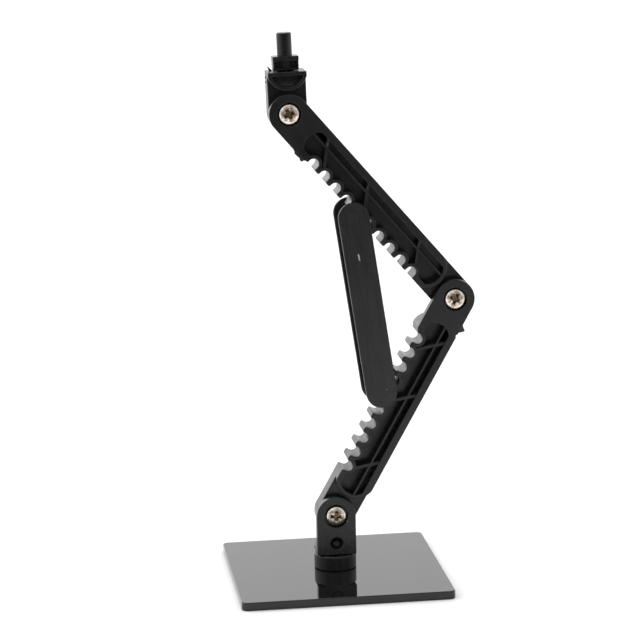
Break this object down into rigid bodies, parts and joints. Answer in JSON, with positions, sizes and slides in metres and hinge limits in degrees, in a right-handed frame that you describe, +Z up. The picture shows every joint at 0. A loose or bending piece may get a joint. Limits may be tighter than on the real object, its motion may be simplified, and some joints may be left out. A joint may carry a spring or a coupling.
{
  "type": "articulated display arm",
  "caption": "Small black plastic arm of two notched links on a square base, held open by a removable flat brace, with a round stud on a tilting head.",
  "frame": {"origin": "centre of the base plate's underside, on the swivel axis", "axes": "+Z up, away from the surface it stands on; +X towards the side the elbow points to; +Y to the rear, so that the pivot screws' heads face -Y"},
  "size_m": [0.0997, 0.0846, 0.2206],
  "materials": {
    "black_plastic": "semi-gloss moulded black plastic",
    "glossy_sheet": "polished black sheet, mirror-like",
    "nickel_screw": "nickel plate, slightly warm",
    "zinc_steel": "bright zinc plate"
  },
  "bodies": {
    "base": {"base_plate": "glossy_sheet", "base_collar": "black_plastic", "base_screw": "zinc_steel"},
    "swivel": {"base_bracket": "black_plastic", "base_nut": "zinc_steel"},
    "lower_link": {"lower_arm": "black_plastic", "base_pivot_screw": "nickel_screw", "base_pivot_nut": "zinc_steel"},
    "upper_link": {"upper_arm": "black_plastic", "elbow_screw": "nickel_screw", "elbow_nut": "zinc_steel"},
    "head": {"head_block": "black_plastic", "stud_adapter": "black_plastic", "head_screw": "nickel_screw", "head_nut": "zinc_steel"},
    "brace": {"strut_front_plate": "black_plastic", "strut_rear_plate": "black_plastic", "strut_lower_pin": "zinc_steel", "strut_upper_pin": "zinc_steel", "strut_lower_retainer": "zinc_steel", "strut_upper_retainer": "zinc_steel"}
  },
  "joints": [
    {"name": "base_swivel", "type": "hinge", "parent": "base", "child": "swivel", "pos_m": [0, 0, 0], "axis": [0, 0, 1], "continuous": true},
    {"name": "base_tilt", "type": "hinge", "parent": "swivel", "child": "lower_link", "pos_m": [0, 0, 0.026], "axis": [0, 1, 0], "range_deg": [-75, 45]},
    {"name": "elbow", "type": "hinge", "parent": "lower_link", "child": "upper_link", "pos_m": [0.04947, 0, 0.11291], "axis": [0, 1, 0], "range_deg": [0, 90]},
    {"name": "head_tilt", "type": "hinge", "parent": "upper_link", "child": "head", "pos_m": [-0.01534, 0, 0.18906], "axis": [0, 1, 0], "range_deg": [-120, 65]},
    {"name": "brace_swing", "type": "hinge", "parent": "lower_link", "child": "brace", "pos_m": [0.02022, 0, 0.07547], "axis": [0, 1, 0], "range_deg": [-50, 0]}
  ]
}
